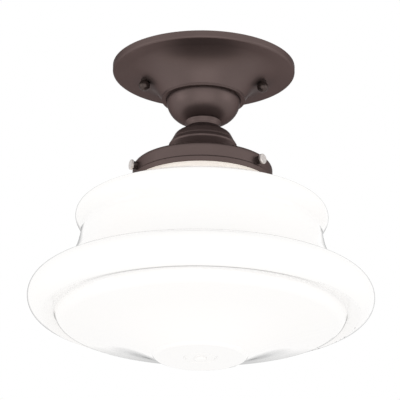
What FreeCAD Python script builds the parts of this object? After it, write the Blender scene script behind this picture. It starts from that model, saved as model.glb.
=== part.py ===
import FreeCAD, Part
import math
import os

import Sketcher

# Semi flush ceiling light: a spun canopy with a rounded cup, a stepped fitter, a three-screw
# shade holder, a blown opal glass shade and a screw-base lampholder with its bulb.
# Millimetres. The origin is the centre of the canopy rim on the ceiling, +Z is up, and every
# "drop" is a distance below the ceiling.

SIZES = {
    # canopy, spun from one sheet
    "canopy_r": 68.5,               # rim radius
    "canopy_gauge": 0.9,
    "canopy_skirt": 5.5,            # height of the upright rim
    "canopy_edge_round": 1.6,
    "canopy_cove_in": 0.35,         # from the studs in to where the flat meets the cone
    "canopy_cove_drop": 6.7,
    "canopy_cove_round": 12.0,
    "canopy_lip_width": 2.6,        # from the hole for the cup to the outside of the lip
    "canopy_lip_drop": 28.7,
    "canopy_lip_height": 3.0,
    "canopy_lip_hollow": 1.0,
    "canopy_lip_round": 1.3,
    # rounded cup that hangs in the canopy's lip
    "cup_r": 27.9,
    "cup_gauge": 0.8,
    "cup_drop": 45.2,
    "cup_round": 17.0,
    "cup_flange": 1.3,              # width of the flange that rests on the lip
    "cup_flange_round": 0.15,
    "cup_gap": 0.2,                 # running gap between the cup and the lip's hole
    # turned collar under the cup
    "collar_r": 13.9,
    "collar_foot_r": 12.7,
    "collar_height": 6.0,
    "collar_edge_round": 0.9,
    # stepped fitter dome
    "dome_gauge": 0.8,
    "dome_top_r": 13.1,
    "dome_top_round": 1.3,
    "dome_shoulder_r": 23.7,
    "dome_shoulder_height": 7.4,    # heights go down from step to step
    "dome_shoulder_round": 8.6,
    "dome_crease_r": 24.7,
    "dome_crease_height": 3.8,
    "dome_crease_round": 0.5,
    "dome_bead_r": 27.0,
    "dome_bead_height": 4.6,
    "dome_bead_round": 4.6,
    "dome_neck_r": 25.0,
    "dome_neck_height": 5.0,
    "dome_neck_round": 1.0,
    "dome_flare_r": 27.5,
    "dome_flare_height": 7.9,
    "dome_flare_round": 4.0,
    "dome_foot_r": 32.5,
    # shade holder with its three screws
    "holder_r": 52.0,
    "holder_gauge": 0.8,
    "holder_corner_round": 4.3,
    "holder_step_drop": 11.1,       # from the holder's top to the step above its band
    "holder_step_round": 0.9,
    "holder_step_hollow": 0.3,
    "holder_band_out": 1.3,         # how far the band stands out from the wall
    "holder_height": 16.0,
    "screw_count": 3,
    "screw_angle": -38.9,           # direction of the first screw, seen from above
    "screw_drop": 7.3,              # from the holder's top to the screws
    "screw_r": 2.08,
    "screw_fit": 0.05,              # radial running clearance of every thread
    "screw_tip_gap": 0.3,           # from a screw's tip to the glass
    "screw_head_r": 3.8,
    "screw_head_gap": 1.0,          # from a bush to the back of a head
    "screw_head_height": 2.0,
    "screw_head_round": 0.4,
    "screw_point": 0.5,
    "bush_r": 2.9,
    "bush_shank_r": 2.55,
    "bush_height": 2.3,             # from the holder's wall to the outer face of a bush
    "bush_inside": 1.0,
    # blown glass shade
    "glass_wall": 3.0,
    "glass_lip_height": 3.2,
    "glass_lip_round": 1.1,
    "glass_lip_gap": 0.8,           # between the lip and the holder's top
    "glass_side_gap": 2.3,          # between the lip and the holder's wall
    "glass_lip_out": 2.3,           # how far the lip stands out from the neck
    "glass_neck_height": 16.3,      # heights go down from zone to zone
    "glass_neck_round": 4.0,
    "glass_bulge_out": 4.8,         # radii of the shoulder and wall are taken from the waist
    "glass_bulge_height": 23.5,
    "glass_bulge_round": 8.0,
    "glass_waist_r": 88.6,
    "glass_waist_height": 11.1,
    "glass_waist_round": 5.0,
    "glass_wall_out": 3.1,
    "glass_wall_height": 15.4,
    "glass_wall_round": 40.0,
    "glass_step_out": 13.9,
    "glass_step_height": 19.7,
    "glass_step_round": 1.5,
    "glass_r": 126.9,
    "glass_torus_height": 16.8,
    "glass_torus_round": 13.3,
    "glass_rim_in": 10.7,           # radii under the torus are taken in from its widest
    "glass_rim_sink": 0.2,
    "glass_rim_round": 4.0,
    "glass_valley_in": 8.8,
    "glass_valley_rise": 2.2,
    "glass_valley_round": 1.5,
    "glass_bead_in": 0.9,
    "glass_bead_sink": 7.2,
    "glass_bead_round": 9.0,
    "glass_ogee_r": 61.9,
    "glass_ogee_height": 8.7,
    "glass_ogee_round": 180.0,
    "glass_button_r": 34.9,
    "glass_button_height": 15.1,    # from the ogee's bend to the button's face
    "glass_button_step": 2.2,
    "glass_button_round": 3.5,
    "glass_crease_round": 0.8,
    "glass_groove_r": 11.5,
    "glass_groove_round": 1.2,
    "glass_groove_depth": 0.5,
    "glass_nub_r": 4.6,
    "glass_nub_height": 1.8,
    "glass_nub_round": 1.5,
    # mounting bracket and canopy screws
    "bracket_gauge": 1.5,
    "bracket_width": 16.0,
    "bracket_reach": 51.0,
    "bracket_disc_r": 21.0,
    "bracket_bore_r": 13.0,
    "bracket_step": 3.0,            # how far the canopy arms are set down
    "bracket_step_r": 32.0,
    "bracket_step_run": 4.0,
    "box_slot_spacing": 79.38,
    "box_slot_length": 14.6,
    "box_slot_width": 5.2,
    "stud_spacing": 88.9,
    "stud_r": 2.05,
    "stud_drop": 16.4,
    "stud_hole_r": 2.5,
    "stud_head_r": 3.6,
    "stud_head_height": 2.1,
    "nut_ball_r": 4.2,
    "nut_ball_drop": 16.8,
    "nut_neck_r": 2.7,
    "nut_neck_drop": 10.2,
    "nut_neck_foot_drop": 13.4,
    "nut_neck_round": 0.4,
    "nut_bore_drop": 18.2,
    "ground_screw_r": 2.0,
    "ground_head_r": 3.8,
    "ground_head_height": 2.2,
    "ground_screw_at": 17.0,
    # threaded tube that clamps the stack, with its nuts and washers
    "tube_r": 5.1,
    "tube_bore_r": 3.4,
    "tube_top_drop": 37.6,
    "tube_end": 6.8,                # how far the tube stands below the holder
    "tube_gap": 0.15,
    "washer_r": 9.0,
    "washer_height": 1.0,
    "tube_nut_across": 16.0,
    "tube_nut_height": 3.5,
    # lampholder
    "strap_gauge": 1.2,
    "strap_bend_r": 1.8,
    "strap_width": 12.0,
    "strap_leg": 18.0,
    "strap_gap": 0.2,
    "socket_r": 19.2,
    "socket_drop": 88.6,
    "socket_height": 37.0,
    "socket_round": 2.0,
    "socket_belt_height": 20.4,     # upper, wider part of the socket
    "socket_belt_slope": 1.8,
    "socket_waist_r": 17.6,
    "socket_mouth_round": 1.0,
    "socket_bore_r": 14.3,
    "socket_floor": 8.0,
    "shell_gauge": 0.4,
    "shell_round": 0.8,
    "shell_fit": 0.25,              # between the bulb's cap and the shell's thread
    "shell_hole_r": 7.5,
    "contact_r": 5.2,
    "contact_gauge": 0.8,
    "contact_round": 0.4,
    "contact_tip_r": 2.6,
    "contact_gap": 0.3,             # from the contact to the bulb's
    "side_screw_r": 1.5,
    "side_screw_head_r": 2.8,
    "side_screw_head_height": 1.6,
    "side_screw_length": 4.0,
    "side_screw_drop": 12.0,
    "terminal_head_r": 3.3,
    "terminal_drop": 15.0,
    # bulb
    "bulb_r": 30.0,
    "bulb_drop": 100.2,             # where the bulb's contact meets the socket's
    "bulb_length": 104.0,
    "bulb_wall": 1.0,
    "bulb_neck_r": 12.2,
    "bulb_neck_round": 18.0,
    "bulb_neck_length": 29.0,
    "bulb_cap_r": 13.1,
    "bulb_cap_wall": 0.4,
    "bulb_cap_length": 22.0,
    "bulb_cap_round": 3.0,
    "bulb_cap_lap": 4.0,            # how far the glass reaches into the cap
    "bulb_eyelet_r": 4.6,
    "bulb_eyelet_height": 1.0,
    "bulb_eyelet_round": 0.6,
    "bulb_insulator_r": 9.0,
    "bulb_insulator_height": 1.8,
    "pole_flat": 0.3,               # small flat at the pole of a ball or bulb
}

HEAD_CROWN = 0.45                   # share of a round screw head's height that is rounded

UP = FreeCAD.Vector(0, 0, 1)


class Size:
    """A length as a number, with the expression over the size sheet that it comes from."""

    def __init__(self, text, value):
        self.text = text
        self.value = value

    def join(self, sign, other, value):
        other = as_size(other)
        return Size("(%s %s %s)" % (self.text, sign, other.text), value)

    def __add__(self, other):
        return self.join("+", other, self.value + as_size(other).value)

    def __sub__(self, other):
        return self.join("-", other, self.value - as_size(other).value)

    def __mul__(self, other):
        return self.join("*", other, self.value * as_size(other).value)

    def __truediv__(self, other):
        return self.join("/", other, self.value / as_size(other).value)

    def __rsub__(self, other):
        return as_size(other) - self

    def __neg__(self):
        return Size("(-%s)" % self.text, -self.value)


def as_size(number):
    if isinstance(number, Size):
        return number
    return Size(repr(number), number)


class SizeSheet:
    """The spreadsheet of driving sizes: sizes.canopy_r is that cell as a Size."""

    def __init__(self, doc):
        sheet = doc.addObject("Spreadsheet::Sheet", "Sizes")
        for row, (alias, number) in enumerate(SIZES.items(), start=1):
            sheet.set("A%d" % row, str(number))
            sheet.setAlias("A%d" % row, alias)
            setattr(self, alias, Size("Sizes." + alias, number))


doc = FreeCAD.newDocument("ceiling_light")
sizes = SizeSheet(doc)
doc.recompute()
pieces = []


# ---------------------------------------------------------------- outlines and turned pieces


def new_body(label):
    body = doc.addObject("PartDesign::Body", label)
    body.Label = label
    pieces.append(body)
    return body


def new_sketch(body, name, role):
    """A sketch of the body on its own origin plane of that role."""
    sketch = body.newObject("Sketcher::SketchObject", body.Name + "_" + name)
    plane = [item for item in body.Origin.OriginFeatures if item.Role == role][0]
    sketch.AttachmentSupport = (plane, "")
    sketch.MapMode = "FlatFace"
    return sketch


class Corner:
    """A corner of an outline, which may be rounded by a fillet."""

    def __init__(self, across, up, fillet=0):
        self.across = as_size(across)
        self.up = as_size(up)
        self.fillet = as_size(fillet)
        self.bend = 0

    def point(self):
        return FreeCAD.Vector(self.across.value, self.up.value, 0)


class Round:
    """A round of an outline, given by its centre, with the material inside it."""

    def __init__(self, across, up, radius):
        self.across = as_size(across)
        self.up = as_size(up)
        self.fillet = as_size(radius)
        self.bend = self.fillet.value

    def point(self):
        return FreeCAD.Vector(self.across.value, self.up.value, 0)


def right_of(angle):
    return FreeCAD.Vector(math.sin(angle), -math.cos(angle), 0)


def heading(here, there):
    """Direction of the straight run between two stops, in radians."""
    span = there.point() - here.point()
    return math.atan2(span.y, span.x) + math.asin((there.bend - here.bend) / span.Length)


class Bend:
    """The arc at a stop: its centre, and its radius above 0 if the material is inside it."""

    def __init__(self, stop, before, after):
        self.stop = stop
        self.centre = stop.point()
        self.radius = stop.bend
        if isinstance(stop, Corner) and stop.fillet.value > 0:
            turn = math.remainder(after - before, 2 * math.pi)
            self.radius = math.copysign(stop.fillet.value, -turn)
            reach = self.radius / math.cos(turn / 2)
            self.centre = stop.point() + right_of(before + turn / 2) * reach
        self.before = before
        self.after = after

    def thinned(self, wall):
        """The same bend on the other face of a wall."""
        other = Bend(self.stop, self.before, self.after)
        other.centre = self.centre
        other.radius = self.radius - wall
        return other

    def touch(self, angle):
        return self.centre - right_of(angle) * self.radius


class Outline:
    """Lines and arcs of a sketch, drawn with the material on their right."""

    def __init__(self, sketch):
        self.sketch = sketch
        self.rules = []
        self.bound = []

    def rule(self, kind, *targets, size=None):
        if size is None:
            self.rules.append(Sketcher.Constraint(kind, *targets))
            self.bound.append(None)
            return
        self.rules.append(Sketcher.Constraint(kind, *targets, size.value))
        self.bound.append(size.text if "Sizes" in size.text else None)

    def place(self, edge, vertex, stop):
        if stop.across.value == 0:
            self.rule("PointOnObject", edge, vertex, -2)
        else:
            self.rule("DistanceX", -1, 1, edge, vertex, size=stop.across)
        if stop.up.value == 0:
            self.rule("PointOnObject", edge, vertex, -1)
        else:
            self.rule("DistanceY", -1, 1, edge, vertex, size=stop.up)

    def lines(self, start, bends, end):
        """Straight runs from the start through the bends to the end."""
        leaving = [start] + [bend.touch(bend.after) for bend in bends]
        arriving = [bend.touch(bend.before) for bend in bends] + [end]
        runs = [Part.LineSegment(a, b) for a, b in zip(leaving, arriving)]
        return [self.sketch.addGeometry(run, False) for run in runs]

    def arc(self, bend, before, after):
        quarter = math.copysign(math.pi / 2, bend.radius)
        span = [bend.before + quarter, bend.after + quarter]
        entry, leave = 1, 2
        if bend.radius > 0:
            span.reverse()
            entry, leave = 2, 1
        circle = Part.Circle(bend.centre, UP, abs(bend.radius))
        arc = self.sketch.addGeometry(Part.ArcOfCircle(circle, *span), False)
        self.rule("Tangent", before, 2, arc, entry)
        self.rule("Tangent", after, 1, arc, leave)
        return arc

    def fix_bend(self, bend, before, after):
        """Places a bend's corner or centre by its sizes, and gives its arc if it has one."""
        stop = bend.stop
        if bend.radius == 0:
            self.rule("Coincident", before, 2, after, 1)
            self.place(after, 1, stop)
            return None
        arc = self.arc(bend, before, after)
        self.rule("Radius", arc, size=stop.fillet)
        if isinstance(stop, Round):
            self.place(arc, 3, stop)
            return arc
        corner = self.sketch.addGeometry(Part.Point(stop.point()), True)
        self.place(corner, 1, stop)
        self.rule("PointOnObject", corner, 1, before)
        self.rule("PointOnObject", corner, 1, after)
        return arc

    def run(self, stops):
        """Draws the stops in order. Gives the first line, the last line, the bends and arcs."""
        angles = [heading(a, b) for a, b in zip(stops, stops[1:])]
        bends = [Bend(*turn) for turn in zip(stops[1:], angles, angles[1:])]
        lines = self.lines(stops[0].point(), bends, stops[-1].point())
        arcs = [self.fix_bend(*turn) for turn in zip(bends, lines, lines[1:])]
        self.place(lines[0], 1, stops[0])
        self.place(lines[-1], 2, stops[-1])
        return lines[0], lines[-1], bends, arcs

    def run_inside(self, start, bends, arcs, end, wall):
        """Draws the inner face of a wall, with every arc about the centre of the outer one."""
        inner = [bend.thinned(wall.value) for bend in bends]
        lines = self.lines(start.point(), inner, end.point())
        for bend, outer, before, after in zip(inner, arcs, lines, lines[1:]):
            arc = self.arc(bend, before, after)
            self.rule("Coincident", arc, 3, outer, 3)
            fillet = bend.stop.fillet
            self.rule("Radius", arc, size=fillet - wall if bend.radius > 0 else fillet + wall)
        self.place(lines[0], 1, start)
        self.place(lines[-1], 2, end)
        return lines[0], lines[-1]

    def cap(self, first, first_vertex, second, second_vertex):
        """Joins two open ends with a straight edge."""
        start = self.sketch.getPoint(first, first_vertex)
        end = self.sketch.getPoint(second, second_vertex)
        line = self.sketch.addGeometry(Part.LineSegment(start, end), False)
        self.rule("Coincident", line, 1, first, first_vertex)
        self.rule("Coincident", line, 2, second, second_vertex)

    def finish(self):
        self.sketch.addConstraint(self.rules)
        for index, text in enumerate(self.bound):
            if text:
                self.sketch.setExpression("Constraints[%d]" % index, text)


def across_wall(stop, angle, wall):
    """The stop on the wall's other face, where a level or upright run starts or ends."""
    right = right_of(angle)
    return Corner(stop.across + wall * round(right.x), stop.up + wall * round(right.y))


def shell_outline(body, stops, wall):
    """Section of a wall of even thickness that follows the stops on its outside."""
    outline = Outline(new_sketch(body, "section", "XZ_Plane"))
    outer_first, outer_last, bends, arcs = outline.run(stops)
    start = across_wall(stops[0], bends[0].before, wall)
    end = across_wall(stops[-1], bends[-1].after, wall)
    inner_first, inner_last = outline.run_inside(start, bends, arcs, end, wall)
    outline.cap(outer_first, 1, inner_first, 1)
    outline.cap(outer_last, 2, inner_last, 2)
    outline.finish()
    return outline.sketch


def solid_outline(body, stops, name="section", role="XZ_Plane"):
    """Closed outline, whose last stop is joined to its first by a straight edge."""
    outline = Outline(new_sketch(body, name, role))
    first, last, _, _ = outline.run(stops)
    outline.cap(last, 2, first, 1)
    outline.finish()
    return outline.sketch


def revolve(body, sketch):
    turned = body.newObject("PartDesign::Revolution", sketch.Name + "_turned")
    turned.Profile = sketch
    turned.ReferenceAxis = (sketch, ["V_Axis"])
    turned.Angle = 360.0
    sketch.Visibility = False
    return turned


def spun(label, stops, wall):
    """A piece of sheet or glass with an even wall, turned about Z."""
    body = new_body(label)
    revolve(body, shell_outline(body, stops, wall))
    return body


def turned_piece(label, stops):
    """A solid turned about Z."""
    body = new_body(label)
    revolve(body, solid_outline(body, stops))
    return body


def pad(body, sketch, length, midplane=False, reverse=False):
    feature = body.newObject("PartDesign::Pad", sketch.Name + "_pad")
    feature.Profile = sketch
    feature.setExpression("Length", length.text)
    feature.Midplane = midplane
    feature.Reversed = reverse
    return feature


def cut_through(body, sketch, midplane=True, reverse=False):
    """Cuts a sketch through the body and checks that it takes material away."""
    doc.recompute()
    volume = body.Shape.Volume
    feature = body.newObject("PartDesign::Pocket", sketch.Name + "_cut")
    feature.Profile = sketch
    feature.Type = "ThroughAll"
    feature.Midplane = midplane
    feature.Reversed = reverse
    doc.recompute()
    if not body.Shape.Volume < volume:
        raise RuntimeError(body.Label + ": " + sketch.Name + " cuts nothing")
    return feature


def circles(body, name, role, centres, radius):
    """Sketch of equal circles at the given (across, up) centres."""
    outline = Outline(new_sketch(body, name, role))
    for across, up in centres:
        stop = Corner(across, up)
        circle = outline.sketch.addGeometry(Part.Circle(stop.point(), UP, radius.value), False)
        outline.place(circle, 3, stop)
        outline.rule("Radius", circle, size=radius)
    outline.finish()
    return outline.sketch


def around(body, feature, count):
    """Repeats a feature round Z."""
    pattern = body.newObject("PartDesign::PolarPattern", feature.Name + "_around")
    pattern.Originals = [feature]
    axis = [item for item in body.Origin.OriginFeatures if item.Role == "Z_Axis"][0]
    pattern.Axis = (axis, [""])
    pattern.Angle = 360.0
    pattern.setExpression("Occurrences", count.text)
    body.Tip = pattern
    return pattern


def ring_stops(bore_r, outer_r, top, bottom):
    """Square-edged ring between two heights."""
    corners = [(bore_r, top), (outer_r, top), (outer_r, bottom), (bore_r, bottom)]
    return [Corner(across, up) for across, up in corners]


# ---------------------------------------------------------------- heights and fits of the stack

cup_seat = sizes.canopy_lip_drop - sizes.canopy_gauge
dome_top = sizes.cup_drop + sizes.collar_height
dome_shoulder = dome_top + sizes.dome_shoulder_height
dome_crease = dome_shoulder + sizes.dome_crease_height
dome_bead = dome_crease + sizes.dome_bead_height
dome_neck = dome_bead + sizes.dome_neck_height
holder_top = dome_neck + sizes.dome_flare_height
holder_under = holder_top + sizes.holder_gauge
screw_level = holder_top + sizes.screw_drop
tube_hole_r = sizes.tube_r + sizes.tube_gap
strap_top = holder_under + sizes.washer_height
strap_under = strap_top + sizes.strap_gauge
strap_inside = sizes.socket_r + sizes.strap_gap
strap_outside = strap_inside + sizes.strap_gauge
socket_floor_drop = sizes.socket_drop + sizes.socket_floor
glass_top = holder_under + sizes.glass_lip_gap
glass_lip_r = sizes.holder_r - sizes.holder_gauge - sizes.glass_side_gap
glass_neck_r = glass_lip_r - sizes.glass_lip_out
bush_reach = sizes.holder_r + sizes.bush_height


# ---------------------------------------------------------------- spun metal


def make_canopy():
    """Spun canopy: upright rim, flat underside, cove and a lip turned in to carry the cup."""
    s = sizes
    lip = s.canopy_lip_height - s.canopy_lip_drop
    hole_r = s.cup_r + s.cup_gap
    lip_r = hole_r + s.canopy_lip_width
    stud_at = s.stud_spacing / 2
    stops = [
        Corner(s.canopy_r, 0),
        Corner(s.canopy_r, -s.canopy_skirt, s.canopy_edge_round),
        Corner(stud_at - s.canopy_cove_in, -s.canopy_cove_drop, s.canopy_cove_round),
        Corner(lip_r, lip, s.canopy_lip_hollow),
        Corner(lip_r, -s.canopy_lip_drop, s.canopy_lip_round),
        Corner(hole_r, -s.canopy_lip_drop),
    ]
    body = spun("canopy", stops, s.canopy_gauge)
    centres = [(-stud_at, 0), (stud_at, 0)]
    cut_through(body, circles(body, "stud_holes", "XY_Plane", centres, s.stud_hole_r))


def make_canopy_cup():
    """Rounded cup, whose flange rests on the canopy's lip from inside."""
    s = sizes
    stops = [
        Corner(s.cup_r + s.cup_flange, -cup_seat),
        Corner(s.cup_r, -cup_seat, s.cup_flange_round),
        Corner(s.cup_r, -s.cup_drop, s.cup_round),
        Corner(tube_hole_r, -s.cup_drop),
    ]
    spun("canopy_cup", stops, s.cup_gauge)


def make_collar():
    """Turned collar between the cup and the dome."""
    s = sizes
    stops = [
        Corner(tube_hole_r, -s.cup_drop),
        Corner(s.collar_r, -s.cup_drop, s.collar_edge_round),
        Corner(s.collar_foot_r, -dome_top),
        Corner(tube_hole_r, -dome_top),
    ]
    turned_piece("collar", stops)


def make_fitter_dome():
    """Stepped dome: sloping shoulder, crease, bead, neck and a flared foot."""
    s = sizes
    foot = s.dome_gauge - holder_top
    bead_centre = s.dome_bead_r - s.dome_bead_round
    stops = [
        Corner(tube_hole_r, -dome_top),
        Corner(s.dome_top_r, -dome_top, s.dome_top_round),
        Corner(s.dome_shoulder_r, -dome_shoulder, s.dome_shoulder_round),
        Corner(s.dome_crease_r, -dome_crease, s.dome_crease_round),
        Round(bead_centre, -dome_bead, s.dome_bead_round),
        Corner(s.dome_neck_r, -dome_neck, s.dome_neck_round),
        Corner(s.dome_flare_r, foot, s.dome_flare_round),
        Corner(s.dome_foot_r, foot),
    ]
    spun("fitter_dome", stops, s.dome_gauge)


def make_shade_holder():
    """Cup that holds the shade: flat top, upright wall and a raised band at its mouth."""
    s = sizes
    step = holder_top + s.holder_step_drop
    band_r = s.holder_r + s.holder_band_out
    stops = [
        Corner(tube_hole_r, -holder_top),
        Corner(s.holder_r, -holder_top, s.holder_corner_round),
        Corner(s.holder_r, -step, s.holder_step_hollow),
        Corner(band_r, -step - s.holder_band_out, s.holder_step_round),
        Corner(band_r, -holder_top - s.holder_height),
    ]
    body = spun("shade_holder", stops, s.holder_gauge)
    hole_r = s.bush_shank_r + s.screw_fit
    hole = circles(body, "screw_hole", "YZ_Plane", [(0, -screw_level)], hole_r)
    around(body, cut_through(body, hole, midplane=False, reverse=True), s.screw_count)
    body.Placement = turned_to(s.screw_angle.value)


def turned_to(degrees):
    return FreeCAD.Placement(FreeCAD.Vector(), FreeCAD.Rotation(UP, degrees))


# ---------------------------------------------------------------- shade screws


def screw_directions():
    step = 360.0 / sizes.screw_count.value
    return [sizes.screw_angle.value + step * turn for turn in range(int(sizes.screw_count.value))]


def point_outwards(body, degrees, drop):
    """Lays a piece that was turned about Z along a spoke of the light, at that drop."""
    spoke = FreeCAD.Vector(math.cos(math.radians(degrees)), math.sin(math.radians(degrees)), 0)
    body.Placement = FreeCAD.Placement(FreeCAD.Vector(), FreeCAD.Rotation(UP, spoke))
    body.setExpression("Placement.Base.z", (-drop).text)


def make_screw_bushes():
    """Tapped bushes riveted through the holder's wall."""
    s = sizes
    bore_r = s.screw_r + s.screw_fit
    seat = s.holder_r + s.screw_fit
    inside = s.holder_r - s.holder_gauge - s.bush_inside
    for number, degrees in enumerate(screw_directions(), start=1):
        stops = [
            Corner(bore_r, bush_reach),
            Corner(s.bush_r, bush_reach),
            Corner(s.bush_r, seat),
            Corner(s.bush_shank_r, seat),
            Corner(s.bush_shank_r, inside),
            Corner(bore_r, inside),
        ]
        point_outwards(turned_piece("screw_bush_%d" % number, stops), degrees, screw_level)


def make_thumb_screws():
    """Screws with round heads, whose tips hold the glass under its lip."""
    s = sizes
    tip = glass_neck_r + s.screw_tip_gap
    head = bush_reach + s.screw_head_gap
    face = head + s.screw_head_height
    for number, degrees in enumerate(screw_directions(), start=1):
        stops = [
            Corner(0, face),
            Corner(s.screw_head_r, face, s.screw_head_round),
            Corner(s.screw_head_r, head, s.screw_head_round),
            Corner(s.screw_r, head),
            Corner(s.screw_r, tip + s.screw_point),
            Corner(s.screw_r - s.screw_point, tip),
            Corner(0, tip),
        ]
        point_outwards(turned_piece("thumb_screw_%d" % number, stops), degrees, screw_level)


# ---------------------------------------------------------------- glass shade


def make_glass_shade():
    """Blown opal shade, one even wall, with a thick lip at its mouth and a button underneath."""
    s = sizes
    neck = glass_top + s.glass_neck_height
    bulge = neck + s.glass_bulge_height
    waist = bulge + s.glass_waist_height
    wall = waist + s.glass_wall_height
    step = wall + s.glass_step_height
    torus = step + s.glass_torus_height
    rim = torus + s.glass_torus_round + s.glass_rim_sink
    bead = rim + s.glass_bead_sink
    ogee = bead + s.glass_ogee_height
    face = ogee + s.glass_button_height
    bulge_r = s.glass_waist_r + s.glass_bulge_out
    rim_r = s.glass_r - s.glass_rim_in
    valley_r = rim_r - s.glass_valley_in
    bead_r = valley_r - s.glass_bead_in
    stops = [
        Corner(glass_neck_r, -glass_top),
        Corner(glass_neck_r, -neck, s.glass_neck_round),
        Round(bulge_r - s.glass_bulge_round, -bulge, s.glass_bulge_round),
        Corner(s.glass_waist_r, -waist, s.glass_waist_round),
        Corner(s.glass_waist_r + s.glass_wall_out, -wall, s.glass_wall_round),
        Corner(s.glass_waist_r + s.glass_step_out, -step, s.glass_step_round),
        Round(s.glass_r - s.glass_torus_round, -torus, s.glass_torus_round),
        Corner(rim_r, -rim, s.glass_rim_round),
        Corner(valley_r, s.glass_valley_rise - rim, s.glass_valley_round),
        Round(bead_r - s.glass_bead_round, s.glass_bead_round - bead, s.glass_bead_round),
        Corner(s.glass_ogee_r, -ogee, s.glass_ogee_round),
        Corner(s.glass_button_r, s.glass_button_step - face, s.glass_crease_round),
        Round(s.glass_button_r - s.glass_button_round, s.glass_button_round - face,
              s.glass_button_round),
        Corner(0, -face),
    ]
    body = spun("glass_shade", stops, s.glass_wall)
    root_r = glass_neck_r - s.glass_wall / 2
    lip_foot = glass_top + s.glass_lip_height
    lip = [
        Corner(root_r, -glass_top),
        Corner(glass_lip_r, -glass_top, s.glass_lip_round),
        Corner(glass_lip_r, -lip_foot, s.glass_lip_round),
        Corner(root_r, -lip_foot),
    ]
    revolve(body, solid_outline(body, lip, "lip"))
    nub = [
        Corner(0, s.glass_wall / 2 - face),
        Corner(s.glass_nub_r, s.glass_wall / 2 - face),
        Corner(s.glass_nub_r, -face - s.glass_nub_height, s.glass_nub_round),
        Corner(0, -face - s.glass_nub_height),
    ]
    revolve(body, solid_outline(body, nub, "nub"))
    groove = circles(body, "groove", "XZ_Plane",
                     [(s.glass_groove_r, s.glass_groove_depth - face - s.glass_groove_round)],
                     s.glass_groove_round)
    ring = body.newObject("PartDesign::Groove", "glass_shade_groove_turned")
    ring.Profile = groove
    ring.ReferenceAxis = (groove, ["V_Axis"])
    ring.Angle = 360.0


# ---------------------------------------------------------------- ceiling bracket and its screws


def rectangle(body, name, role, half_across, half_up, centre_up=0):
    """Rectangle centred on the sketch's upright axis."""
    up = as_size(centre_up)
    stops = [
        Corner(-half_across, up + half_up),
        Corner(half_across, up + half_up),
        Corner(half_across, up - half_up),
        Corner(-half_across, up - half_up),
    ]
    return solid_outline(body, stops, name, role)


def slots(body, name, centre_up, length, width):
    """Two upright slots, one each side of the sketch's level axis."""
    outline = Outline(new_sketch(body, name, "XY_Plane"))
    half = width / 2
    reach = length / 2 - half
    for side in (centre_up, -centre_up):
        stops = [
            Corner(-half, side + reach / 2),
            Round(0, side + reach, half),
            Round(0, side - reach, half),
            Corner(-half, side - reach / 2),
        ]
        first, last, _, _ = outline.run(stops)
        outline.cap(last, 2, first, 1)
    outline.finish()
    return outline.sketch


def make_mounting_bracket():
    """Pressed steel cross: slotted arms flat on the outlet box, canopy arms set down."""
    s = sizes
    body = new_body("mounting_bracket")
    gauge = s.bracket_gauge
    step_end = s.bracket_step_r + s.bracket_step_run
    strip = [
        Corner(-s.bracket_reach, -s.bracket_step),
        Corner(-step_end, -s.bracket_step),
        Corner(-s.bracket_step_r, 0),
        Corner(s.bracket_step_r, 0),
        Corner(step_end, -s.bracket_step),
        Corner(s.bracket_reach, -s.bracket_step),
        Corner(s.bracket_reach, -s.bracket_step - gauge),
        Corner(step_end - gauge / 2, -s.bracket_step - gauge),
        Corner(s.bracket_step_r - gauge / 2, -gauge),
        Corner(gauge / 2 - s.bracket_step_r, -gauge),
        Corner(gauge / 2 - step_end, -s.bracket_step - gauge),
        Corner(-s.bracket_reach, -s.bracket_step - gauge),
    ]
    pad(body, solid_outline(body, strip, "canopy_arms"), s.bracket_width, midplane=True)
    arms = rectangle(body, "box_arms", "XY_Plane", s.bracket_width / 2, s.bracket_reach)
    pad(body, arms, gauge, reverse=True)
    disc = circles(body, "disc", "XY_Plane", [(0, 0)], s.bracket_disc_r)
    pad(body, disc, gauge, reverse=True)
    cut_through(body, circles(body, "wire_hole", "XY_Plane", [(0, 0)], s.bracket_bore_r))
    slot_at = s.box_slot_spacing / 2
    cut_through(body, slots(body, "box_slots", slot_at, s.box_slot_length, s.box_slot_width))
    stud_centres = [(-s.stud_spacing / 2, 0), (s.stud_spacing / 2, 0)]
    stud_thread_r = s.stud_r + s.screw_fit
    cut_through(body, circles(body, "stud_threads", "XY_Plane", stud_centres, stud_thread_r))
    ground = [(s.ground_screw_at, 0)]
    ground_thread_r = s.ground_screw_r + s.screw_fit
    cut_through(body, circles(body, "ground_thread", "XY_Plane", ground, ground_thread_r))


def screw_stops(head_r, head_top, seat, shank_r, tip):
    """Round-headed screw that points down, with its head above the seat."""
    crown = (head_top - seat) * HEAD_CROWN
    return [
        Corner(0, head_top),
        Corner(head_r, head_top, crown),
        Corner(head_r, seat),
        Corner(shank_r, seat),
        Corner(shank_r, tip),
        Corner(0, tip),
    ]


def make_ground_screw():
    """Green bonding screw under the bracket, with its head downwards."""
    s = sizes
    under = -s.bracket_gauge
    bottom = under - s.ground_head_height
    crown = s.ground_head_height * HEAD_CROWN
    stops = [
        Corner(0, -s.screw_fit),
        Corner(s.ground_screw_r, -s.screw_fit),
        Corner(s.ground_screw_r, under),
        Corner(s.ground_head_r, under),
        Corner(s.ground_head_r, bottom, crown),
        Corner(0, bottom),
    ]
    body = turned_piece("ground_screw", stops)
    body.setExpression("Placement.Base.x", s.ground_screw_at.text)


def make_canopy_studs():
    """Screws that hang from the bracket and carry the canopy on their ball nuts."""
    s = sizes
    head_top = s.stud_head_height - s.bracket_step
    for name, side in (("left", -1), ("right", 1)):
        stops = screw_stops(s.stud_head_r, head_top, -s.bracket_step, s.stud_r, -s.stud_drop)
        body = turned_piece("canopy_stud_" + name, stops)
        body.setExpression("Placement.Base.x", (s.stud_spacing * side / 2).text)


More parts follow.
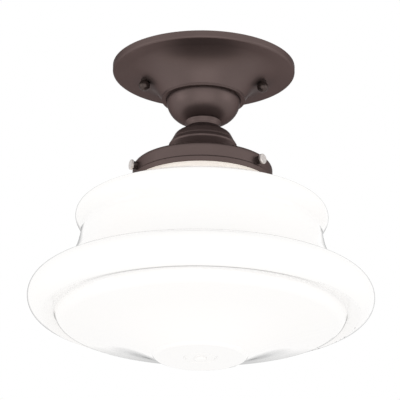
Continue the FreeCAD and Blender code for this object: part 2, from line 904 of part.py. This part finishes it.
def make_ball_nuts():
    """Blind ball nuts with a short neck that bears on the canopy."""
    s = sizes
    bore_r = s.stud_r + s.screw_fit
    ball = s.nut_ball_r - s.pole_flat
    stops = [
        Corner(0, -s.nut_bore_drop - bore_r / 2),
        Corner(bore_r, -s.nut_bore_drop),
        Corner(bore_r, -s.nut_neck_drop),
        Corner(s.nut_neck_r, -s.nut_neck_drop),
        Corner(s.nut_neck_r, -s.nut_neck_foot_drop, s.nut_neck_round),
        Round(s.pole_flat, -s.nut_ball_drop, ball),
        Corner(0, -s.nut_ball_drop - ball),
    ]
    for name, side in (("left", -1), ("right", 1)):
        body = turned_piece("ball_nut_" + name, stops)
        body.setExpression("Placement.Base.x", (s.stud_spacing * side / 2).text)


# ---------------------------------------------------------------- threaded tube, nuts and washers


def make_threaded_tube():
    """Threaded tube through cup, collar, dome and holder, which carries the wires."""
    s = sizes
    end = holder_under + s.tube_end
    turned_piece("threaded_tube", ring_stops(s.tube_bore_r, s.tube_r, -s.tube_top_drop, -end))


def make_washer(label, top):
    s = sizes
    turned_piece(label, ring_stops(tube_hole_r, s.washer_r, top, top - s.washer_height))


def make_tube_nut(label, top):
    """Hexagonal nut on the threaded tube."""
    s = sizes
    hexagon = doc.addObject("Part::Prism", label + "_hexagon")
    hexagon.Polygon = 6
    hexagon.setExpression("Circumradius", (s.tube_nut_across / math.sqrt(3)).text)
    hexagon.setExpression("Height", s.tube_nut_height.text)
    bore = doc.addObject("Part::Cylinder", label + "_bore")
    bore.setExpression("Radius", (s.tube_r + s.screw_fit).text)
    bore.setExpression("Height", s.tube_nut_height.text)
    nut = doc.addObject("Part::Cut", label)
    nut.Label = label
    nut.Base = hexagon
    nut.Tool = bore
    nut.setExpression("Placement.Base.z", (top - s.tube_nut_height).text)
    pieces.append(nut)


def make_tube_hardware():
    """The tube is nutted in the cup above the stack and under the holder below it."""
    s = sizes
    cup_floor = s.cup_gauge - s.cup_drop
    make_washer("cup_washer", cup_floor + s.washer_height)
    make_tube_nut("cup_nut", cup_floor + s.washer_height + s.tube_nut_height)
    make_washer("holder_washer", -holder_under)
    make_tube_nut("holder_nut", -strap_under)


# ---------------------------------------------------------------- lampholder


def make_socket_strap():
    """Bent strap clamped under the holder, with a leg on each side of the socket."""
    s = sizes
    body = new_body("socket_strap")
    foot = strap_top + s.strap_leg
    stops = [
        Corner(-strap_outside, -foot),
        Corner(-strap_outside, -strap_top, s.strap_bend_r),
        Corner(strap_outside, -strap_top, s.strap_bend_r),
        Corner(strap_outside, -foot),
        Corner(strap_inside, -foot),
        Corner(strap_inside, -strap_under),
        Corner(-strap_inside, -strap_under),
        Corner(-strap_inside, -foot),
    ]
    pad(body, solid_outline(body, stops, "bend"), s.strap_width, midplane=True)
    cut_through(body, circles(body, "tube_hole", "XY_Plane", [(0, 0)], tube_hole_r))
    screw_hole = [(0, -s.socket_drop - s.side_screw_drop)]
    hole_r = s.side_screw_r + s.screw_fit
    cut_through(body, circles(body, "screw_holes", "YZ_Plane", screw_hole, hole_r))


def make_socket_body():
    """Glazed porcelain socket with a round cavity for the screw shell."""
    s = sizes
    top = -s.socket_drop
    bottom = top - s.socket_height
    belt = top - s.socket_belt_height
    floor = top - s.socket_floor
    stops = [
        Corner(0, top),
        Corner(s.socket_r, top, s.socket_round),
        Corner(s.socket_r, belt),
        Corner(s.socket_waist_r, belt - s.socket_belt_slope),
        Corner(s.socket_waist_r, bottom, s.socket_mouth_round),
        Corner(s.socket_bore_r, bottom),
        Corner(s.socket_bore_r, floor),
        Corner(0, floor),
    ]
    body = turned_piece("socket_body", stops)
    hole_r = s.side_screw_r + s.screw_fit
    side = [(0, top - s.side_screw_drop)]
    terminal = [(0, top - s.terminal_drop)]
    cut_through(body, circles(body, "side_holes", "YZ_Plane", side, hole_r))
    cut_through(body, circles(body, "terminal_holes", "XZ_Plane", terminal, hole_r))


def make_socket_shell():
    """Brass screw shell, whose closed end rests on the floor of the porcelain."""
    s = sizes
    outer_r = s.bulb_cap_r + s.shell_fit + s.shell_gauge
    foot = s.socket_drop + s.socket_height - s.socket_round
    stops = [
        Corner(s.shell_hole_r, -socket_floor_drop),
        Corner(outer_r, -socket_floor_drop, s.shell_round),
        Corner(outer_r, -foot),
    ]
    spun("socket_shell", stops, s.shell_gauge)


def make_socket_contact():
    """Sprung brass button in the floor of the socket."""
    s = sizes
    tip = s.contact_gap - s.bulb_drop
    seat = s.contact_gauge + socket_floor_drop
    stops = [
        Corner(0, -socket_floor_drop),
        Corner(s.contact_r, -socket_floor_drop),
        Corner(s.contact_r, -seat),
        Corner(s.contact_tip_r + s.contact_round, -seat),
        Corner(s.contact_tip_r, tip, s.contact_round),
        Corner(0, tip),
    ]
    turned_piece("socket_contact", stops)


def make_cross_screws(label, sides, head_r, seat, drop):
    """Screws that point at the light's axis, with their heads seated at that distance from it."""
    s = sizes
    top = seat + s.side_screw_head_height
    stops = screw_stops(head_r, top, seat, s.side_screw_r, seat - s.side_screw_length)
    for side, degrees in sides:
        point_outwards(turned_piece(label + side, stops), degrees, drop)


def make_socket_screws():
    """Two screws hold the porcelain in its strap, and two take the wires."""
    s = sizes
    make_cross_screws("socket_screw_", (("left", 180), ("right", 0)), s.side_screw_head_r,
                      strap_outside, s.socket_drop + s.side_screw_drop)
    make_cross_screws("terminal_screw_", (("front", -90), ("rear", 90)), s.terminal_head_r,
                      s.socket_r, s.socket_drop + s.terminal_drop)


# ---------------------------------------------------------------- bulb


def make_bulb():
    """Screw-base bulb: frosted glass, metal cap, black insulator and centre contact."""
    s = sizes
    cap_top = s.bulb_drop + s.bulb_eyelet_height + s.bulb_insulator_height
    cap_foot = cap_top + s.bulb_cap_length
    crown = s.bulb_drop + s.bulb_length
    ball = s.bulb_r - s.pole_flat
    glass = [
        Corner(s.bulb_neck_r, s.bulb_cap_lap - cap_foot),
        Corner(s.bulb_neck_r, -s.bulb_drop - s.bulb_neck_length, s.bulb_neck_round),
        Round(s.pole_flat, ball - crown, ball),
        Corner(0, -crown),
    ]
    spun("bulb_glass", glass, s.bulb_wall)
    cap = [
        Corner(s.bulb_eyelet_r, -cap_top),
        Corner(s.bulb_cap_r, -cap_top, s.bulb_cap_round),
        Corner(s.bulb_cap_r, -cap_foot),
    ]
    spun("bulb_cap", cap, s.bulb_cap_wall)
    eyelet_foot = s.bulb_drop + s.bulb_eyelet_height
    insulator = [
        Corner(0, -eyelet_foot),
        Corner(s.bulb_eyelet_r, -eyelet_foot),
        Corner(s.bulb_insulator_r, -cap_top),
        Corner(0, -cap_top),
    ]
    turned_piece("bulb_insulator", insulator)
    eyelet = [
        Corner(0, -s.bulb_drop),
        Corner(s.bulb_eyelet_r, -s.bulb_drop, s.bulb_eyelet_round),
        Corner(s.bulb_eyelet_r, -eyelet_foot),
        Corner(0, -eyelet_foot),
    ]
    turned_piece("bulb_contact", eyelet)


# ---------------------------------------------------------------- all pieces

BUILDERS = [
    make_canopy,
    make_canopy_cup,
    make_collar,
    make_fitter_dome,
    make_shade_holder,
    make_screw_bushes,
    make_thumb_screws,
    make_glass_shade,
    make_mounting_bracket,
    make_ground_screw,
    make_canopy_studs,
    make_ball_nuts,
    make_threaded_tube,
    make_tube_hardware,
    make_socket_strap,
    make_socket_body,
    make_socket_shell,
    make_socket_contact,
    make_socket_screws,
    make_bulb,
]


def check_piece(piece):
    if piece.Shape.isNull() or not piece.Shape.isValid():
        raise RuntimeError(piece.Label + " has no valid shape")


def write_pieces():
    for item in doc.Objects:
        if "Invalid" in item.State or "Error" in item.State:
            raise RuntimeError(item.Label + " failed: " + str(item.State))
    for piece in pieces:
        check_piece(piece)
    os.makedirs("parts", exist_ok=True)
    for piece in pieces:
        piece.Shape.exportStep("parts/%s.step" % piece.Label)
        print(piece.Label, len(piece.Shape.Solids), round(piece.Shape.Volume, 1), "mm3")


for build in BUILDERS:
    build()
doc.recompute()
write_pieces()
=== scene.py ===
import math

import bmesh
import bpy
from mathutils import Matrix, Vector


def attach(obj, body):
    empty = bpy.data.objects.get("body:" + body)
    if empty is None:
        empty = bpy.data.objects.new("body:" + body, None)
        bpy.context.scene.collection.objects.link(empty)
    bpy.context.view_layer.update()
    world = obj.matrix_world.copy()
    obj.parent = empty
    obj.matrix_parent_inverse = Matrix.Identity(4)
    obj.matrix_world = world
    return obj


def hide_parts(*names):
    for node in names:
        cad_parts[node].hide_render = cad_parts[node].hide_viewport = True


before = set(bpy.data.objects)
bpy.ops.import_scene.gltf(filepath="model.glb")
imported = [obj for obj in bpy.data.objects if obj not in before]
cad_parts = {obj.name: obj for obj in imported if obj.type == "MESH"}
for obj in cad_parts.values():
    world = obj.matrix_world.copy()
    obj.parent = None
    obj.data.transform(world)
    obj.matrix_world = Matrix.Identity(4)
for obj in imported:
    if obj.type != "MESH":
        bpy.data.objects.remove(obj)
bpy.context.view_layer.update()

# ---------------------------------------------------------------- studio
# The light hangs in a plain white room, seen from a little below by a long lens. Large soft
# lamps stand to the left, to the right, low in front and behind.

MM = 0.001
view_rise = math.radians(20.39)
view_roll = math.radians(0.72)
view_distance = 1850 * MM           # level distance from the camera to the light's axis
view_aside = -1.6 * MM
aim_height = -106.75 * MM
lens_px = 2666.5                    # focal length, for a picture that is frame_px wide
frame_px = 400
film_width = 36
room_light = 0.94                   # what the room adds, where 1 is the white seen behind


class Field:
    """A node's output, such as a value that varies over a surface."""

    def __init__(self, nodes, socket):
        self.nodes = nodes
        self.socket = socket

    def maths(self, operation, first, second):
        return self.nodes.node("ShaderNodeMath", {0: first, 1: second}, operation=operation)

    def __add__(self, other):
        return self.maths("ADD", self, other)

    def __radd__(self, other):
        return self.maths("ADD", other, self)

    def __mul__(self, other):
        return self.maths("MULTIPLY", self, other)

    def __rmul__(self, other):
        return self.maths("MULTIPLY", other, self)

    def __pow__(self, other):
        return self.maths("POWER", self, other)

    def __rpow__(self, other):
        return self.maths("POWER", other, self)

    def most(self, other):
        return self.maths("MAXIMUM", self, other)

    def between(self, low, high):
        """0 at low and 1 at high, with no value outside that."""
        values = {"Value": self, "From Min": low, "From Max": high}
        return self.nodes.node("ShaderNodeMapRange", values)

    def spread(self):
        """A noise, which seldom leaves the middle of its range, stretched to reach 0 and 1."""
        return self.between(0.3, 0.7)

    def blend(self, none, full):
        """The first colour where this is 0 and the second where it is 1."""
        values = {"Factor": self, "A": (*none, 1), "B": (*full, 1)}
        return self.nodes.node("ShaderNodeMix", values, out="Result", data_type="RGBA")


class Nodes:
    """The nodes of the room or of a material."""

    def __init__(self, owner):
        owner.use_nodes = True
        self.tree = owner.node_tree

    def node(self, kind, values, out=0, **settings):
        """Adds a node and gives one of its outputs, or a list of those that a tuple names."""
        node = self.tree.nodes.new(kind)
        for name, setting in settings.items():
            setattr(node, name, setting)
        for name, value in values.items():
            self.feed(self.socket_of(node.inputs, name), value)
        if isinstance(out, tuple):
            return [Field(self, self.socket_of(node.outputs, name)) for name in out]
        return Field(self, self.socket_of(node.outputs, out))

    def socket_of(self, sockets, name):
        if isinstance(name, int):
            return sockets[name]
        return [socket for socket in sockets if socket.name == name and socket.enabled][0]

    def feed(self, socket, value):
        if isinstance(value, Field):
            self.tree.links.new(value.socket, socket)
        else:
            socket.default_value = value


def soft_lamp(name, place, width, strength):
    """A square area lamp aimed at the light."""
    data = bpy.data.lights.new(name, "AREA")
    data.size = width
    data.energy = strength
    lamp = bpy.data.objects.new(name, data)
    bpy.context.scene.collection.objects.link(lamp)
    lamp.location = place
    lamp.rotation_euler = (aim - Vector(place)).to_track_quat("-Z", "Y").to_euler()


sight = Vector((0, math.cos(view_rise), math.sin(view_rise)))
up = Vector((0, -math.sin(view_rise), math.cos(view_rise)))
side = Vector((1, 0, 0))
rolled_up = up * math.cos(view_roll) - side * math.sin(view_roll)
turn = Matrix((sight.cross(rolled_up), rolled_up, -sight)).transposed().to_4x4()
aim = Vector((view_aside, 0, aim_height))
stand = aim - sight * view_distance / math.cos(view_rise)

camera_data = bpy.data.cameras.new("camera")
camera_data.sensor_width = film_width
camera_data.lens = film_width * lens_px / frame_px
camera = bpy.data.objects.new("camera", camera_data)
camera.matrix_world = Matrix.Translation(stand) @ turn
bpy.context.scene.collection.objects.link(camera)
bpy.context.scene.camera = camera
bpy.context.scene.view_settings.view_transform = "Standard"

soft_lamp("left_lamp", place=(-2.3, -0.7, -0.25), width=1.2, strength=3.5)
soft_lamp("right_lamp", place=(2.3, -0.6, -0.15), width=1.2, strength=3.5)
soft_lamp("low_lamp", place=(0.1, -1.9, -1.0), width=2.4, strength=7.5)
soft_lamp("back_lamp", place=(0.3, 2.2, 0.6), width=1.4, strength=1.2)

world = bpy.data.worlds.new("white_room")
bpy.context.scene.world = world
room = Nodes(world)
rays = ("Is Camera Ray", "Is Transmission Ray", "Is Glossy Ray")
camera_ray, glass_ray, gloss_ray = room.node("ShaderNodeLightPath", {}, out=rays)
shown = camera_ray.most(glass_ray).most(gloss_ray)
level = room.node("ShaderNodeMapRange", {"Value": shown, "To Min": room_light, "To Max": 1.0})
backdrop = room.tree.nodes["Background"]
backdrop.inputs["Color"].default_value = (1, 1, 1, 1)
room.feed(backdrop.inputs["Strength"], level)

# ---------------------------------------------------------------- canopy
# Spun from one steel sheet: upright rim, flat underside, cove, cone and an in-turned lip. It
# is sprayed in satin bronze, thin enough for the spinning marks to show faintly.

bronze_brown = (0.113, 0.083, 0.078)
bronze_light = (0.141, 0.104, 0.098)
bronze_grain = 1400
bronze_grain_depth = 0.012 * MM
paint_tint = (0.20, 0.18, 0.18, 1)  # how dark the gloss stays where the paint is seen edge on
spin_mark = 0.35 * MM
spin_slant = 0.8                    # how far the marks follow a wall down, against outward
crease = math.radians(28)           # edges sharper than this stay sharp in the shading
weld = 0.0001 * MM


class Finish(Nodes):
    """A material, whose surface values are set by name."""

    def __init__(self, name, slot, **constants):
        self.material = bpy.data.materials.new(name)
        super().__init__(self.material)
        self.slot = slot
        self.surface = self.tree.nodes["Principled BSDF"]
        self.paint(**constants)

    def paint(self, **values):
        for name, value in values.items():
            self.feed(self.surface.inputs[name.replace("_", " ")], value)

    def place(self):
        """Where a point is on the light, in metres."""
        return self.node("ShaderNodeTexCoord", {}, out="Object")

    def along(self, axes):
        """How far along one axis, or along each of a tuple of axes, a point lies."""
        return self.node("ShaderNodeSeparateXYZ", {"Vector": self.place()}, out=axes)

    def noise(self, scale, detail=2.0):
        values = {"Vector": self.place(), "Scale": scale, "Detail": detail}
        return self.node("ShaderNodeTexNoise", values, out="Fac")

    def rings(self, spacing):
        """Fine uneven rings round the light's axis, as left by a spinning tool."""
        x, y, z = self.along(("X", "Y", "Z"))
        radius = (x * x + y * y) ** 0.5
        track = (radius + z * spin_slant) * (1 / spacing)
        values = {"W": track, "Scale": 1.0, "Detail": 1.0}
        return self.node("ShaderNodeTexNoise", values, out="Fac", noise_dimensions="1D")

    def relief(self, height, depth):
        """Bumps of that depth in metres."""
        bump = self.node("ShaderNodeBump", {"Height": height, "Distance": depth, "Strength": 1.0})
        self.feed(self.surface.inputs["Normal"], bump)


def rounded(*stops, steps=14):
    """An outline through (radius, height, round) stops in millimetres, its corners rounded."""
    places = [Vector(stop[:2]) * MM for stop in stops]
    outline = []
    for before, here, after, stop in zip([None] + places, places, places[1:] + [None], stops):
        if len(stop) == 2:
            outline.append(here)
            continue
        back = (before - here).normalized()
        on = (after - here).normalized()
        half = back.angle(on) / 2
        radius = stop[2] * MM
        centre = here + (back + on).normalized() * (radius / math.sin(half))
        reach = radius / math.tan(half)
        start = here + back * reach - centre
        end = here + on * reach - centre
        for step in range(steps + 1):
            outline.append(centre + start.slerp(end, step / steps) * radius)
    return outline


def uncut(radius, height, angle):
    return 0


def lathe(name, outline, finish, body, node, at=Matrix(), cut=uncut, turns=180):
    """Turns a closed outline about Z into a piece that stands for a CAD node. The cut is how
    deep a tool goes in at a radius, height and angle."""
    solid = bmesh.new()
    rings = []
    for turn in range(turns):
        angle = math.tau * turn / turns
        ring = []
        for radius, height in outline:
            reach = radius - cut(radius, height, angle)
            spot = Vector((reach * math.cos(angle), reach * math.sin(angle), height))
            ring.append(solid.verts.new(at @ spot))
        rings.append(ring)
    for ring, following in zip(rings, rings[1:] + rings[:1]):
        pairs = zip(ring, ring[1:] + ring[:1], following, following[1:] + following[:1])
        for here, after, across, across_after in pairs:
            solid.faces.new((here, after, across_after, across))
    bmesh.ops.remove_doubles(solid, verts=solid.verts, dist=weld)
    bmesh.ops.recalc_face_normals(solid, faces=solid.faces)
    mesh = bpy.data.meshes.new(name)
    solid.to_mesh(mesh)
    solid.free()
    mesh.materials.append(finish.material)
    mesh.shade_smooth()
    mesh.set_sharp_from_angle(angle=crease)
    piece = bpy.data.objects.new(name, mesh)
    bpy.context.scene.collection.objects.link(piece)
    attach(piece, body)
    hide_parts(node)


bronze = Finish("satin_bronze_paint", "bronze", Metallic=0.8, Specular_Tint=paint_tint)
tone = bronze.noise(22, detail=3.0)
speck = bronze.noise(bronze_grain)
bronze.paint(
    Base_Color=(tone * 0.7 + speck * 0.3).spread().blend(bronze_brown, bronze_light),
    Roughness=0.32 + speck * 0.10 + tone * 0.05,
)
bronze.relief(speck * 0.8 + bronze.rings(spin_mark) * 0.5, bronze_grain_depth)

canopy_face = rounded(
    (68.5, 0),
    (68.5, -5.5, 1.6),
    (44.1, -6.7, 30.0),
    (31.3, -25.2, 0.5),
    (31.3, -27.3, 0.2),
    (27.9, -27.3, 0.3),
    (27.9, -26.4),
)
canopy_inside = rounded(
    (27.9, -26.4),
    (30.4, -26.4, 0.3),
    (30.4, -24.9, 0.5),
    (43.5, -5.9, 30.9),
    (67.6, -4.7, 0.8),
    (67.6, 0),
)
lathe("canopy_shell", canopy_face + canopy_inside, bronze, "fixture", "canopy", turns=256)

# ---------------------------------------------------------------- cup, collar and fitter dome
# Spun cup, turned collar and stepped spun dome, nutted together on the threaded tube and
# sprayed with the canopy. The cup's flange rests on the canopy's lip.

tube_hole_r = 5.25                  # the hole for the threaded tube in all three

cup_face = rounded(
    (29.3, -26.4),
    (27.6, -26.4, 0.2),
    (27.6, -45.1, 17.6),
    (tube_hole_r, -45.1),
)
cup_inside = rounded(
    (tube_hole_r, -44.3),
    (26.8, -44.3, 16.8),
    (26.8, -25.6, 1.0),
    (29.3, -25.6),
)
lathe("cup_shell", cup_face + cup_inside, bronze, "fixture", "canopy_cup")

collar_outline = rounded(
    (tube_hole_r, -45.1),
    (12.0, -45.1),
    (13.8, -44.6, 0.2),
    (12.4, -47.3, 3.0),
    (12.3, -49.4),
    (tube_hole_r, -49.4),
)
lathe("collar_ring", collar_outline, bronze, "fixture", "collar")

dome_face = rounded(
    (32.5, -79.1),
    (26.5, -79.1, 4.0),
    (19.8, -71.8, 2.5),
    (25.0, -65.0, 0.5),
    (25.5, -63.9, 0.5),
    (23.6, -60.8, 0.3),
    (22.7, -60.5, 0.2),
    (23.2, -60.0, 0.2),
    (20.6, -55.0, 6.0),
    (13.2, -50.2, 1.0),
    (12.6, -49.4, 0.4),
    (tube_hole_r, -49.4),
    steps=8,
)
dome_inside = rounded(
    (tube_hole_r, -50.2),
    (11.7, -50.2, 0.6),
    (20.0, -55.6, 5.2),
    (21.9, -60.2, 1.0),
    (24.4, -64.5, 0.4),
    (18.8, -71.8, 3.3),
    (26.2, -79.9, 4.8),
    (32.5, -79.9),
    steps=8,
)
lathe("dome_shell", dome_face + dome_inside, bronze, "fixture", "fitter_dome")

# ---------------------------------------------------------------- shade holder and its bushes
# Spun cup with a raised band at its mouth, sprayed with the canopy. Three tapped bushes are
# riveted into its wall and are darker.

dark_brown = (0.066, 0.050, 0.046)
dark_light = (0.090, 0.070, 0.064)
fine_grain = 0.01 * MM              # depth of the grain on smooth paint and plating


def dress(finish, *nodes):
    """Gives CAD nodes a finish."""
    for name in nodes:
        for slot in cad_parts[name].material_slots:
            slot.material = finish.material


dark_bronze = Finish("dark_bronze_paint", "bronze_dark", Metallic=0.7, Specular_Tint=paint_tint)
speck = dark_bronze.noise(1600)
dark_bronze.paint(
    Base_Color=speck.spread().blend(dark_brown, dark_light),
    Roughness=0.24 + speck * 0.10,
)
dark_bronze.relief(speck, fine_grain)

dress(bronze, "shade_holder")
dress(dark_bronze, "screw_bush_1", "screw_bush_2", "screw_bush_3")

# ---------------------------------------------------------------- ball nuts
# Blind nuts turned from brass, each a ball on a short neck, dipped in dark bronze. They
# screw onto the studs and hold the canopy up.

nut_across = 88.9 / 2 * MM          # outlet box screws stand 88.9 mm apart
nut_neck_r = 2.7
nut_seat = -10.4
nut_ball_r = 4.2
nut_ball_height = -15.4
nut_places = {
    "left": Matrix.Translation((-nut_across, 0, 0)),
    "right": Matrix.Translation((nut_across, 0, 0)),
}


def ball_outline(neck_r, seat, centre, ball_r, steps=32):
    """A ball under a short neck."""
    first = math.asin(neck_r / ball_r)
    angles = [first + (math.pi - first) * step / steps for step in range(steps + 1)]
    ball = [(ball_r * math.sin(angle), centre + ball_r * math.cos(angle)) for angle in angles]
    return [Vector(place) * MM for place in [(0, seat), (neck_r, seat)] + ball]


nut_outline = ball_outline(nut_neck_r, nut_seat, nut_ball_height, nut_ball_r)
for hand, place in nut_places.items():
    body = "ball_nut_" + hand
    lathe("ball_" + hand, nut_outline, dark_bronze, body, body, at=place, turns=64)

# ---------------------------------------------------------------- thumb screws
# Steel screws with round knurled heads, satin nickel plated. They run in the bushes, and
# their tips reach in under the lip of the glass to hold it.

screw_directions = (-38.9, 81.1, 201.1)     # degrees round the light's axis
screw_level = -87.2 * MM
screw_r = 2.08
screw_thread_start = 55.1
screw_thread_end = 47.4
screw_pitch = 0.8
screw_thread_depth = 0.42
head_r = 3.8
knurls = 36
knurl_depth = 0.14 * MM
knurl_reach = 0.2                   # how far in from the head's edge the knurls are cut
shank_slack = 0.01 * MM             # how far off its radius a point still lies on the shank
nickel_dull = (0.48, 0.44, 0.42)
nickel_bright = (0.66, 0.62, 0.60)


def threaded(radius, start, end, pitch, rows=6):
    """The outline of a rod's side between two heights, with enough points for its thread."""
    count = int(abs(end - start) / pitch * rows)
    heights = [start + (end - start) * row / count for row in range(count + 1)]
    return [Vector((radius, height)) * MM for height in heights]


def thread_cut(radius, start, end, pitch, depth):
    """A V thread on a rod of that radius between two heights, run out at its ends."""

    def cut(at_radius, height, angle):
        if abs(at_radius - radius * MM) > shank_slack:
            return 0
        run_out = min(abs(height - start * MM), abs(height - end * MM)) / (pitch * MM)
        phase = (height / (pitch * MM) + angle / math.tau) % 1
        return depth * MM * abs(2 * phase - 1) * min(run_out, 1)

    return cut


screw_thread = (screw_r, screw_thread_start, screw_thread_end, screw_pitch)
screw_cut = thread_cut(*screw_thread, screw_thread_depth)


def knurled_screw_cut(radius, height, angle):
    """Knurls on the head's edge and a thread on the shank."""
    if radius > (head_r - knurl_reach) * MM:
        return knurl_depth * (0.5 + 0.5 * math.cos(knurls * angle))
    return screw_cut(radius, height, angle)


nickel = Finish("satin_nickel", "nickel", Metallic=0.9)
speck = nickel.noise(700, detail=3.0)
nickel.paint(
    Base_Color=speck.spread().blend(nickel_dull, nickel_bright),
    Roughness=0.26 + speck * 0.16,
)
nickel.relief(speck, fine_grain)

screw_head = rounded(
    (0, 57.3),
    (3.0, 57.3, 1.2),
    (3.3, 57.15, 0.3),
    (head_r, 57.15, 0.45),
    (head_r, 55.3, 0.3),
    (2.3, 55.3),
)
screw_shank = threaded(*screw_thread)
screw_tip = rounded((1.58, 46.9), (0, 46.9))
for number, degrees in enumerate(screw_directions, start=1):
    angle = math.radians(degrees)
    spoke = Vector((math.cos(angle), math.sin(angle), 0))
    turned = spoke.to_track_quat("Z", "Y").to_matrix().to_4x4()
    place = Matrix.Translation((0, 0, screw_level)) @ turned
    body = "thumb_screw_%d" % number
    lathe("screw_%d" % number, screw_head + screw_shank + screw_tip, nickel, body, body,
          at=place, cut=knurled_screw_cut, turns=144)

# ---------------------------------------------------------------- tube, studs and bracket
# Threaded tube, pressed bracket, washers, nuts and strap of zinc plated steel with a faint
# spangle. The canopy's studs are dark and the ground screw is dipped green.

tube_r = 5.1
tube_thread_top = -37.7
tube_thread_foot = -87.4
tube_pitch = 0.94
tube_thread_depth = 0.5
tube_bore_r = 3.4
stud_r = 2.05
stud_thread_top = -3.2
stud_thread_foot = -14.0
stud_pitch = 0.8
stud_thread_depth = 0.42
zinc_dark = (0.42, 0.42, 0.41)
zinc_light = (0.62, 0.62, 0.60)
green_dark = (0.03, 0.20, 0.07)
green_light = (0.07, 0.32, 0.13)

zinc = Finish("zinc_plate", "zinc_steel", Metallic=0.95)
spangle = zinc.noise(260, detail=4.0)
zinc.paint(
    Base_Color=spangle.spread().blend(zinc_dark, zinc_light),
    Roughness=0.28 + spangle * 0.2,
)
zinc.relief(zinc.noise(1200), fine_grain)
dress(zinc, "mounting_bracket", "cup_washer", "cup_nut", "holder_washer", "holder_nut")
dress(zinc, "socket_strap", "socket_screw_left", "socket_screw_right")

tube_thread = (tube_r, tube_thread_top, tube_thread_foot, tube_pitch)
tube_bore = rounded((4.7, -87.5), (tube_bore_r, -87.5), (tube_bore_r, -37.6), (4.7, -37.6))
tube_cut = thread_cut(*tube_thread, tube_thread_depth)
lathe("tube", threaded(*tube_thread) + tube_bore, zinc, "fixture", "threaded_tube",
      cut=tube_cut, turns=72)

stud_thread = (stud_r, stud_thread_top, stud_thread_foot, stud_pitch)
stud_head = rounded((0, -0.9), (3.6, -0.9, 1.2), (3.6, -3.0), (2.2, -3.0))
stud_shank = threaded(*stud_thread)
stud_tip = rounded((1.6, -14.3), (0, -14.3))
stud_cut = thread_cut(*stud_thread, stud_thread_depth)
for hand, place in nut_places.items():
    lathe("stud_" + hand, stud_head + stud_shank + stud_tip, dark_bronze, "fixture",
          "canopy_stud_" + hand, at=place, cut=stud_cut, turns=48)

green = Finish("green_dip", "green_screw", Metallic=0.5)
speck = green.noise(900)
green.paint(
    Base_Color=speck.spread().blend(green_dark, green_light),
    Roughness=0.3 + speck * 0.15,
)
green.relief(speck, fine_grain)
dress(green, "ground_screw")

# ---------------------------------------------------------------- lampholder
# Glazed porcelain socket, screwed to the strap, with a screw shell and a centre contact
# pressed from brass. Two terminal screws take the leads.

porcelain_grey = (0.80, 0.78, 0.72)
porcelain_white = (0.88, 0.87, 0.83)
brass_dull = (0.62, 0.43, 0.18)
brass_bright = (0.80, 0.60, 0.30)

porcelain = Finish("glazed_porcelain", "porcelain", Coat_Roughness=0.05)
cloud = porcelain.noise(60, detail=3.0)
porcelain.paint(
    Base_Color=cloud.between(0.35, 0.65).blend(porcelain_grey, porcelain_white),
    Roughness=0.16 + cloud * 0.08,
    Coat_Weight=0.5 + cloud * 0.2,
)
porcelain.relief(porcelain.noise(180), 0.03 * MM)
dress(porcelain, "socket_body")

brass = Finish("pressed_brass", "brass", Metallic=1.0)
speck = brass.noise(500, detail=3.0)
brass.paint(
    Base_Color=speck.spread().blend(brass_dull, brass_bright),
    Roughness=0.24 + speck * 0.15,
)
brass.relief(speck, fine_grain)
dress(brass, "socket_shell", "socket_contact", "terminal_screw_front")
dress(nickel, "terminal_screw_rear")

# ---------------------------------------------------------------- bulb
# Blown glass bulb, frosted, with a nickel plated cap, a black glass insulator and a
# soldered contact. It screws into the lampholder's shell.

frost_grey = (0.84, 0.84, 0.81)
frost_white = (0.90, 0.90, 0.87)
glass_ior = 1.5
insulator_black = (0.012, 0.012, 0.014)
insulator_grey = (0.03, 0.03, 0.03)

frost = Finish("frosted_bulb", "frosted_glass", IOR=glass_ior)
powder = frost.noise(900)
frost.paint(
    Base_Color=powder.spread().blend(frost_grey, frost_white),
    Roughness=0.5 + powder * 0.15,
)
frost.relief(powder, fine_grain)
dress(frost, "bulb_glass")
dress(nickel, "bulb_cap", "bulb_contact")

insulator = Finish("black_insulator_glass", "black_glass")
speck = insulator.noise(300)
insulator.paint(
    Base_Color=speck.spread().blend(insulator_black, insulator_grey),
    Roughness=0.15 + speck * 0.1,
)
insulator.relief(speck, 0.02 * MM)
dress(insulator, "bulb_insulator")

# ---------------------------------------------------------------- glass shade
# Blown opal glass: a straight neck with a thick lip, a sloping shoulder with a bulge, a
# waist, a rolled rim and a sagging base that ends in a button with a pressed nub. A warm
# glow is painted on the neck where the holder shades it, and a grey line of painted shade
# where the glass is seen edge on.

opal_cool = (0.968, 0.958, 0.948)
opal_warm = (0.972, 0.955, 0.940)
painted_neck_glow = (0.88, 0.81, 0.72)      # painted glow: warm emission on the neck, where the holder shades it
painted_glow_foot = -118 * MM
painted_glow_top = -98 * MM
painted_glow_strength = 0.55
# Painted shade: a grey line drawn where the glass is seen edge on.
painted_edge_shade = (0.5, 0.5, 0.5)
edge_shade_roughness = 0.1
painted_edge_start = 0.83                 # how nearly edge on the painted shade line begins to show
painted_edge_full = 0.93

# Painted glow: the opal's emission lights the neck band, with no lamp behind it.
opal = Finish("opal_glass", "opal_glass", IOR=glass_ior, Emission_Strength=painted_glow_strength)
cloud = opal.noise(14)
ripple = opal.noise(38, detail=1.0)
height = opal.along("Z")
opal.paint(
    # painted glow: the emission colour fades in towards the neck, under the holder
    Emission_Color=height.between(painted_glow_foot, painted_glow_top).blend((0, 0, 0), painted_neck_glow),
    Base_Color=cloud.spread().blend(opal_cool, opal_warm),
    Roughness=0.14 + ripple * 0.08,
)
opal.relief(ripple, 0.12 * MM)

# Painted shade: grey gloss is mixed over the opal by facing, which darkens the glass's outline.
gloss = {"Color": (*painted_edge_shade, 1), "Roughness": edge_shade_roughness}
edge_shade_gloss = opal.node("ShaderNodeBsdfGlossy", gloss)
facing = opal.node("ShaderNodeLayerWeight", {}, out="Facing")
white = Field(opal, opal.surface.outputs["BSDF"])
edge = facing.between(painted_edge_start, painted_edge_full)
painted_edge_mix = opal.node("ShaderNodeMixShader", {0: edge, 1: white, 2: edge_shade_gloss})
opal.feed(opal.tree.nodes["Material Output"].inputs["Surface"], painted_edge_mix)
dress(opal, "glass_shade")
